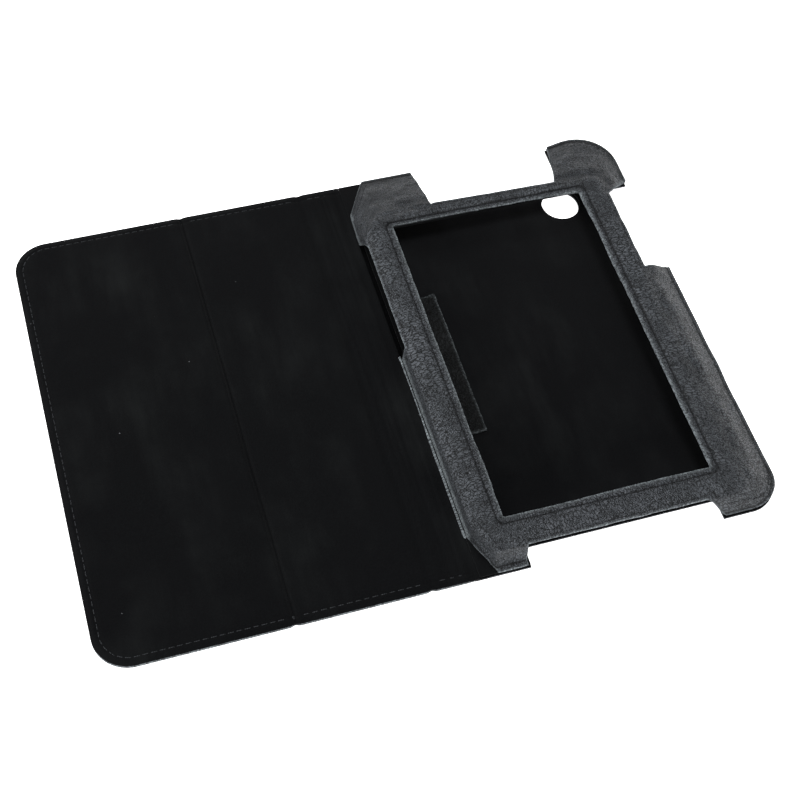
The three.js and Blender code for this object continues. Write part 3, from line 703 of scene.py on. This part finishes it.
def moulded_frame():
    """The band round the window and the four corner pockets, moulded from one hide."""
    window = (WIN_X0, WIN_X1, WIN_Y0, WIN_Y1)
    shoulder = (BAND_X0, BAND_X1, BAND_Y0, BAND_Y1)
    edge = (HX0, HX1, HY0, HY1)
    st = stations("shoulder", shoulder)
    counts = []
    for i in range(16):
        a, b = Vector(st[i]), Vector(st[(i + 1) % 16])
        least = 14 if i in CORNER_SPANS else 3
        counts.append(max(least, round((b - a).length / (0.8 * MM))))
    win = curve_points("window", window, counts)
    sho = curve_points("shoulder", shoulder, counts)
    rim = curve_points("edge", edge, counts)
    cols = len(win)
    span = np.repeat(np.arange(16), counts)
    t_band = np.linspace(0, 1, BAND_ROWS + 1)
    t_wall = np.linspace(0, 1, WALL_ROWS + 1)[1:]
    run = np.hypot(*(rim - sho).T)
    rows = []
    for t in t_band:
        xy = win + (sho - win) * t
        rows.append(np.column_stack([xy, np.full(cols, Z_BAND)]))
    for t in t_wall:
        way_out, down = wall_profile(t, run)
        xy = sho + (rim - sho) * way_out[:, None]
        rows.append(np.column_stack([xy, Z_BAND - (Z_BAND - Z_FLANGE) * down]))
    points = np.array(rows)
    total = len(rows)
    step = np.hypot(*(np.roll(sho, -1, axis=0) - sho).T)
    girth = step.sum()
    turn = 2 * math.pi * np.concatenate([[0], np.cumsum(step)[:-1]]) / girth

    deselect()
    bpy.ops.mesh.primitive_grid_add(x_subdivisions=cols, y_subdivisions=total - 1, size=2)
    obj = bpy.context.object
    obj.name = obj.data.name = "moulded_frame"
    p = get_points(obj)
    order = np.lexsort((p[:, 0].round(6), p[:, 1].round(6)))
    wrapped = np.concatenate([points, points[:, :1]], axis=1)
    p[order] = wrapped.reshape(-1, 3)
    set_points(obj, p)
    # the grain runs across the band and down the walls, whichever way they face
    steps = np.linalg.norm(np.diff(points, axis=0), axis=2)
    reach = np.vstack([np.zeros(cols), np.cumsum(steps, axis=0)])
    reach = np.concatenate([reach, reach[:, :1]], axis=1)
    turn = np.tile(np.append(turn, 0.0), total)
    # on the two top pockets the wrinkles run along the edge instead of down the wall
    closer = np.where(np.isin(span, (9, 10, 11)), 3.4, np.where(np.isin(span, (5, 6, 7)), 2.2, 1.0))
    closer = np.append(closer, closer[0])
    fine = np.where(np.arange(total)[:, None] > BAND_ROWS, closer[None, :], 1.0)
    grain_reach = reach[BAND_ROWS] + (reach - reach[BAND_ROWS]) * fine
    grain = np.empty_like(p)
    grain[order] = np.column_stack([girth / (2 * math.pi) * np.cos(turn),
                                    girth / (2 * math.pi) * np.sin(turn), grain_reach.ravel()])
    lay_grain(obj, grain)
    # how far each point is from its own outer edge, for the rows and the cut edge
    walled_col = ~np.isin(span, GAP_SPANS)
    walled_col = np.append(walled_col, walled_col[:1])
    last = np.where(walled_col, reach[-1], reach[BAND_ROWS])
    to_rim = np.empty(len(p))
    to_rim[order] = (last[None, :] - reach).ravel()
    on_wall = np.empty(len(p))
    on_wall[order] = np.tile(walled_col.astype(float), total)
    for key, values in (("to_rim", to_rim), ("on_wall", on_wall)):
        obj.data.attributes.new(key, "FLOAT", "POINT").data.foreach_set("value", values)

    # the wall is cut away between the pockets, along the lines that meet the band
    row_of, col_of = np.empty(len(p), int), np.empty(len(p), int)
    row_of[order] = np.repeat(np.arange(total), cols + 1)
    col_of[order] = np.tile(np.arange(cols + 1), total)
    activate(obj)
    bpy.ops.object.mode_set(mode="EDIT")
    bpy.ops.mesh.select_mode(type="FACE")
    bpy.ops.mesh.select_all(action="DESELECT")
    bpy.ops.object.mode_set(mode="OBJECT")
    for face in obj.data.polygons:
        r = min(row_of[v] for v in face.vertices)
        c = min(col_of[v] for v in face.vertices)
        face.select = bool(r >= BAND_ROWS and span[c] in GAP_SPANS)
    bpy.ops.object.mode_set(mode="EDIT")
    bpy.ops.mesh.delete(type="FACE")
    bpy.ops.mesh.select_all(action="SELECT")
    bpy.ops.mesh.remove_doubles(threshold=1e-6)
    bpy.ops.mesh.normals_make_consistent(inside=False)
    bpy.ops.object.mode_set(mode="OBJECT")
    if sum(f.normal.z * f.area for f in obj.data.polygons) < 0:
        flip_faces(obj)

    # free edges, for the pale raw leather along them
    uses = {}
    for face in obj.data.polygons:
        for key in face.edge_keys:
            uses[key] = uses.get(key, 0) + 1
    free = sorted({v for key, n in uses.items() if n == 1 for v in key})
    tree = kdtree.KDTree(len(free))
    for i, v in enumerate(free):
        tree.insert(obj.data.vertices[v].co, i)
    tree.balance()
    margin = np.array([tree.find(v.co)[2] for v in obj.data.vertices])

    p = get_points(obj)
    x, y, z = p[:, 0].copy(), p[:, 1].copy(), p[:, 2].copy()
    # plan width of the wall that each point stands above or in, none at the gaps
    spread = kdtree.KDTree(cols)
    for i, q in enumerate(sho):
        spread.insert((q[0], q[1], 0.0), i)
    spread.balance()
    reach = np.where(np.isin(span, GAP_SPANS), 0.0, run)
    walled = np.array([reach[spread.find((a, b, 0.0))[1]] for a, b in zip(x, y)])
    hem = outside_rect(x, y, *window)
    out = outside_rect(x, y, *shoulder)
    band = smooth(1 - out / (1.5 * MM))
    to_rim, on_wall = np.empty(len(p)), np.empty(len(p))
    obj.data.attributes["to_rim"].data.foreach_get("value", to_rim)
    obj.data.attributes["on_wall"].data.foreach_get("value", on_wall)
    # the shut cover lies just over the band, so the band's top and its spine side stay low
    p[:, 2] -= 0.55 * MM * smooth((z - Z_BAND + 4 * MM) / (4 * MM))
    p[:, 2] -= 1.7 * MM * hump(x, BAND_X0, 2.3 * MM) * band
    seam = hump(to_rim, SEAM_IN, 0.5 * MM) * on_wall
    fold = 0.6 * hump(to_rim, 1.5 * MM, 0.35 * MM) * (1 - on_wall)
    broad = smooth((walled - 5 * MM) / (5 * MM))
    p[:, 2] -= 0.40 * MM * seam * broad + 0.30 * MM * fold
    # the band is soft: it crowns between the window and the shoulder, and dips at the row
    p[:, 2] += band * (0.45 * MM * hump(hem, 8 * MM, 4.5 * MM)
                       - 0.6 * MM * hump(hem, ROW_INSET, 0.6 * MM))
    p[:, 2] -= 0.5 * MM * hump(hem, 0, 1.0 * MM)
    p[:, 2] += band * 0.22 * MM * ripple(x, y, 6 * MM, 11) * smooth(hem / (5 * MM))
    # the shoulder is rounded over
    p[:, 2] -= 0.40 * MM * hump(out, 0, 1.2 * MM)
    p[:, 2] -= 0.75 * MM * hump(out, 1.0 * MM, 4.0 * MM) * smooth(walled / (8 * MM))
    # the cut edge round the window is a little uneven
    wave = 0.10 * MM * ripple(x, y, 3 * MM, 12) + 0.22 * MM * ripple(x, y, 22 * MM, 13)
    near_edge = hump(hem, 0, 2.0 * MM)
    centre_x, centre_y = (WIN_X0 + WIN_X1) / 2, (WIN_Y0 + WIN_Y1) / 2
    side = np.abs(x - centre_x) / (WIN_X1 - WIN_X0) > np.abs(y - centre_y) / (WIN_Y1 - WIN_Y0)
    p[:, 0] += np.where(side, np.sign(x - centre_x) * wave * near_edge, 0)
    p[:, 1] += np.where(side, 0, np.sign(y - centre_y) * wave * near_edge)
    # the far right pocket has relaxed and stands off the back
    w = smooth((y - BAND_Y1) / (28 * MM)) * smooth((x - HX1 + 46 * MM) / (24 * MM))
    p[:, 2] += 1.5 * MM * w
    p[:, 1] += 0.4 * MM * w
    droop = smooth((HX1 - 19 * MM - x) / (12 * MM)) * smooth((x - HX1 + 46 * MM) / (4 * MM))
    p[:, 1] -= 1.3 * MM * droop * smooth((y - BAND_Y1 - 10 * MM) / (18 * MM))
    # soft folds down the leaning walls, and a gentle waver of the outer edge, which on the
    # spine's side only goes inwards, to stay clear of the shut cover
    wall = smooth(out / (3 * MM))
    above = smooth((z - Z_FLANGE) / (4 * MM)) * smooth(walled / (12 * MM))
    p[:, 2] += wall * above * (0.30 * MM * ripple(x, y, 4.5 * MM, 14)
                               + 0.45 * MM * ripple(x, y, 13 * MM, 15))
    waver = ripple(x, y, 15 * MM, 16)
    p[:, 0] += wall * 0.25 * MM * np.where(x < WIN_X0, np.abs(waver), waver)
    p[:, 2] = np.minimum(p[:, 2], Z_BAND - 0.2 * MM)
    set_points(obj, p)
    # pale raw leather along the free edges and round the window; the same pale colour is also
    # painted as a highlight on the spine-side wall, up to 6.5 mm from its rim
    raw_and_highlight = obj.data.attributes.new("raw_edge_and_painted_highlight", "FLOAT", "POINT")
    spine_wall_painted_highlight = (on_wall * smooth((BAND_X0 + 0.5 * MM - x) / (0.6 * MM))
                  * smooth((6.5 * MM - to_rim) / (2.5 * MM)))
    pale = np.maximum(hump(margin, 0, 0.45 * MM), hump(hem, 0, 0.9 * MM))
    raw_and_highlight.data.foreach_set("value", np.maximum(pale, spine_wall_painted_highlight))
    # painted shade: the colour is darkened along the pockets' seams, the folds at the gaps and the
    # window's row of stitches
    groove = obj.data.attributes.new("painted_groove_shade", "FLOAT", "POINT")
    window_row_shade = hump(hem, ROW_INSET + THREAD_W / 2, 0.42 * MM)
    groove.data.foreach_set("value", np.maximum(np.maximum(seam, fold), window_row_shade))
    modify(obj, "SMOOTH", factor=0.5, iterations=2)
    modify(obj, "SOLIDIFY", thickness=FRAME_T, offset=-1.0, use_even_offset=False)
    activate(obj)
    bpy.ops.object.shade_smooth_by_angle(angle=math.radians(60))
    dress(obj, LEATHER)
    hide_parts("frame_leather")
    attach(obj, "holder")
    return obj


frame_piece = moulded_frame()

band_lining = from_node("band_lining", "frame_lining")
modify(band_lining, "BEVEL", width=0.15 * MM, segments=2, limit_method="ANGLE")
dress(band_lining, SUEDE)
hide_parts("frame_lining")
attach(band_lining, "holder")


# ------------------------------------------------------------------ tuck flap

def tuck_flap():
    x0, x1, y0, y1 = FLAP
    xs = lines([(x0, x1, 0.7 * MM)])
    ys = lines([(y0, y1, 0.9 * MM)])
    obj = grid("tuck_flap_piece", xs, ys)
    p = get_points(obj)
    x, y = p[:, 0].copy(), p[:, 1].copy()
    u, v = (x - x0) / (x1 - x0), (y - y0) / (y1 - y0)
    p[:, 0] += smooth((u - 0.7) / 0.3) * 0.15 * MM * ripple(x, y, 3 * MM, 21)
    p[:, 1] += smooth((np.abs(v - 0.5) - 0.42) / 0.08) * 0.4 * MM * ripple(x, y, 4 * MM, 22)
    # the free side is lifted a little, unevenly along its length
    z0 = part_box("tuck_flap")[1].z
    p[:, 2] = z0 + 0.5 * MM * smooth((u - 0.5) / 0.5) * (0.6 + 0.4 * np.cos(v * 9)) - 0.1 * MM
    set_points(obj, p)
    modify(obj, "SOLIDIFY", thickness=0.8 * MM, offset=-1.0)
    lay_grain(obj)
    layer = obj.data.attributes.new("raw_edge_and_painted_highlight", "FLOAT", "POINT")
    q = get_points(obj)
    rim = outside_rect(q[:, 0], q[:, 1], x0, x1, y0, y1)
    layer.data.foreach_set("value", 0.28 * hump(rim, 0, 0.6 * MM))
    activate(obj)
    bpy.ops.object.shade_smooth_by_angle(angle=math.radians(50))
    dress(obj, FLAP_LEATHER_PAINTED_SHADE)
    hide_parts("tuck_flap")
    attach(obj, "tuck_flap")


tuck_flap()


# ------------------------------------------------------------------ stitches

STITCH = 2.5 * MM
PITCH = 3.3 * MM


def one_stitch():
    """A short length of thread whose ends dive into the leather."""
    deselect()
    bpy.ops.mesh.primitive_cylinder_add(vertices=6, radius=THREAD_W / 2, depth=STITCH,
                                        end_fill_type="NGON")
    obj = bpy.context.object
    bpy.ops.object.mode_set(mode="EDIT")
    bpy.ops.mesh.select_all(action="SELECT")
    bpy.ops.transform.rotate(value=math.pi / 2, orient_axis="Y", center_override=(0, 0, 0))
    bpy.ops.object.mode_set(mode="OBJECT")
    modify(obj, "BEVEL", width=0.14 * MM, segments=1, limit_method="ANGLE",
           angle_limit=math.radians(60))
    p = get_points(obj)
    p[:, 2] -= 0.28 * MM * (np.abs(p[:, 0]) / (STITCH / 2)) ** 3
    set_points(obj, p)
    return obj


def walk(points, closed=False, pitch=PITCH):
    """Middles and directions of even stitches along a path."""
    pts = [Vector(p) for p in points]
    if closed:
        pts.append(pts[0])
    spans = [(b - a).length for a, b in zip(pts, pts[1:])]
    total = sum(spans)
    count = max(1, int(total / pitch))
    out, i, gone = [], 0, 0.0
    for k in range(count):
        s = (k + 0.5) * total / count
        while i < len(spans) - 1 and s > gone + spans[i]:
            gone += spans[i]
            i += 1
        t = (s - gone) / spans[i]
        out.append((pts[i].lerp(pts[i + 1], t), (pts[i + 1] - pts[i]).normalized()))
    return out


def stitch_row(name, stitches, mat, body, nodes, under=False):
    """Copies of one stitch joined into a row. Each place is (x, y, z) and a direction."""
    made = []
    for spot, along, *rest in stitches:
        obj = MODEL.copy()
        obj.data = MODEL.data.copy()
        up = rest[0] if rest else Vector((0, 0, -1 if under else 1))
        side = up.cross(along).normalized()
        turn = Matrix((along, side, along.cross(side))).transposed().to_4x4()
        obj.data.transform(Matrix.Translation(spot) @ turn)
        bpy.context.collection.objects.link(obj)
        made.append(obj)
    deselect()
    for obj in made:
        obj.select_set(True)
    bpy.context.view_layer.objects.active = made[0]
    bpy.ops.object.join()
    row = bpy.context.object
    row.name = row.data.name = name
    bpy.ops.object.shade_smooth()
    dress(row, mat)
    if nodes:
        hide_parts(*nodes)
    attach(row, body)


MODEL = one_stitch()


def arc(cx, cy, r, a0, a1, n=8):
    """Points along an arc, from angle a0 to angle a1."""
    angles = [a0 + (a1 - a0) * i / n for i in range(n + 1)]
    return [(cx + r * math.cos(a), cy + r * math.sin(a)) for a in angles]


IN = ROW_INSET + THREAD_W / 2
CLEAR = 3.4 * MM  # a row stops this far from a crease
r_row = COVER_R - IN
outer_path = (
    [(CREASE1 - CLEAR, Y_TOP - IN)]
    + arc(X_LEFT + COVER_R, Y_TOP - COVER_R, r_row, math.pi / 2, math.pi)
    + arc(X_LEFT + COVER_R, Y_BOTTOM + COVER_R, r_row, math.pi, 1.5 * math.pi)
    + [(CREASE1 - CLEAR, Y_BOTTOM + IN)]
)


def on_surface(path, height, lift):
    """Stitches along a path, standing on the surface that height gives."""
    out = []
    for spot, along in walk([(x, y, 0) for x, y in path]):
        z = float(height(np.array([spot.x]), np.array([spot.y]))[0]) + lift
        out.append((Vector((spot.x, spot.y, z)), along))
    return out


def both_faces(name, path, body, nodes):
    """One row through the cover, as it shows on the lining and on the leather."""
    stitch_row(name, on_surface(path, lining_height, 0.02 * MM), THREAD_DARK, body, nodes)
    stitch_row(name + "_outside", on_surface(path, leather_height, 0.02 * MM), THREAD, body, [],
               under=True)


both_faces("outer_cover_row", outer_path, "outer_cover", ["outer_cover_stitches"])
for side, y in (("top", Y_TOP - IN), ("bottom", Y_BOTTOM + IN)):
    both_faces(f"inner_cover_row_{side}", [(CREASE1 + CLEAR, y), (CREASE2 - CLEAR, y)],
               "inner_cover", [f"inner_cover_stitches_{side}"])
    both_faces(f"spine_row_{side}", [(CREASE2 + CLEAR, y), (CREASE3 - CLEAR, y)],
               "spine", [f"spine_stitches_{side}"])


def drop(spot):
    """Where a line straight down through a spot meets the frame: hit or not, place and normal."""
    high = Vector((spot.x, spot.y, 0.05))
    return frame_piece.ray_cast(high, Vector((0, 0, -1)))[:3]


wx0, wx1 = WIN_X0 - IN, WIN_X1 + IN
wy0, wy1 = WIN_Y0 - IN, WIN_Y1 + IN
corners = [(wx0, wy0), (wx1, wy0), (wx1, wy1), (wx0, wy1)]
hits = []
for spot, along in walk([(x, y, 0.0) for x, y in corners], closed=True):
    _, place, normal = drop(spot)
    hits.append((place + normal * 0.1 * MM, along, Vector((0, 0, 1))))
stitch_row("window_row", hits, THREAD, "holder", ["window_stitches"])


# the spans of the outer edge that each pocket's seam follows
SEAM_CORNERS = {
    "bottom_left": (14, 15), "bottom_right": (1, 2, 3, 4),
    "top_right": (5, 6, 7), "top_left": (9, 10),
}


def seam_row(corner, spans):
    """A row near the outer edge of one pocket, lying on its wall."""
    edge = (HX0 + SEAM_IN, HX1 - SEAM_IN, HY0 + SEAM_IN, HY1 - SEAM_IN)
    st = stations("edge", edge)
    path = []
    for i in spans:
        path.extend(curve_points("edge", edge, [40 if j == i else 0 for j in range(16)]))
    path.append(np.array(st[(spans[-1] + 1) % 16]))
    hits = []
    for spot, along in walk([(q[0], q[1], 0.0) for q in path], pitch=2.9 * MM):
        found, place, normal = drop(spot)
        if found:
            along = (along - normal * along.dot(normal)).normalized()
            hits.append((place + normal * 0.05 * MM, along, normal))
    stitch_row(f"seam_row_{corner}", hits, THREAD, "holder", [f"seam_stitches_{corner}"])


for corner, spans in SEAM_CORNERS.items():
    seam_row(corner, spans)

bpy.data.objects.remove(MODEL)


# ------------------------------------------------------------------ floor, light and camera

deselect()
bpy.ops.mesh.primitive_plane_add(size=6, location=(0, 0, -0.0003))
floor = bpy.context.object
floor.name = "studio_floor"
paper, shader = new_material("white_paper_sweep")
shader.inputs["Base Color"].default_value = linear("#fafafa")
shader.inputs["Roughness"].default_value = 0.9
shader.inputs["Emission Color"].default_value = (1, 1, 1, 1)
shader.inputs["Emission Strength"].default_value = 1.0
floor.data.materials.append(paper)

world = bpy.data.worlds.new("studio")
bpy.context.scene.world = world
world.use_nodes = True
world.node_tree.nodes["Background"].inputs["Color"].default_value = (1, 1, 1, 1)
world.node_tree.nodes["Background"].inputs["Strength"].default_value = 0.36


def softbox(name, place, target, size, power):
    lamp = bpy.data.lights.new(name, "AREA")
    lamp.shape = "RECTANGLE"
    lamp.size, lamp.size_y = size
    lamp.energy = power
    obj = bpy.data.objects.new(name, lamp)
    bpy.context.collection.objects.link(obj)
    obj.location = place
    obj.rotation_euler = (Vector(target) - Vector(place)).to_track_quat("-Z", "Y").to_euler()


softbox("overhead_softbox", (0.16, 0.02, 1.22), (0.07, -0.05, 0), (0.45, 0.45), 15)
softbox("back_softbox", (-0.5, 1.0, 0.95), (0.02, 0, 0), (0.55, 0.4), 6)
softbox("side_softbox", (-1.3, 0.1, 0.20), (0.02, 0, 0), (0.3, 0.8), 26)
softbox("front_softbox", (0.1, -1.25, 0.42), (0.04, 0, 0), (0.9, 0.3), 13)

AZIMUTH, ELEVATION, ROLL = math.radians(-22.105), math.radians(56.769), math.radians(6.241)
DISTANCE, AIM, LENS = 0.629085, Vector((0.003241, -0.014728, 0.0)), 66.066
back = Vector((math.sin(AZIMUTH) * math.cos(ELEVATION), -math.cos(AZIMUTH) * math.cos(ELEVATION),
               math.sin(ELEVATION)))  # from the aim towards the camera
camera = bpy.data.objects.new("camera", bpy.data.cameras.new("camera"))
bpy.context.collection.objects.link(camera)
camera.data.lens = LENS
camera.data.sensor_width = 36.0
camera.data.clip_start, camera.data.clip_end = 0.01, 20
camera.rotation_mode = "QUATERNION"
right = (-back).cross(Vector((0, 0, 1))).normalized()
up = right.cross(-back)
tilted_right = math.cos(ROLL) * right + math.sin(ROLL) * up
tilted_up = -math.sin(ROLL) * right + math.cos(ROLL) * up
camera.matrix_world = Matrix.Translation(AIM + back * DISTANCE) @ Matrix(
    (tilted_right, tilted_up, back)).transposed().to_4x4()
bpy.context.scene.camera = camera
bpy.context.scene.view_settings.view_transform = "Standard"
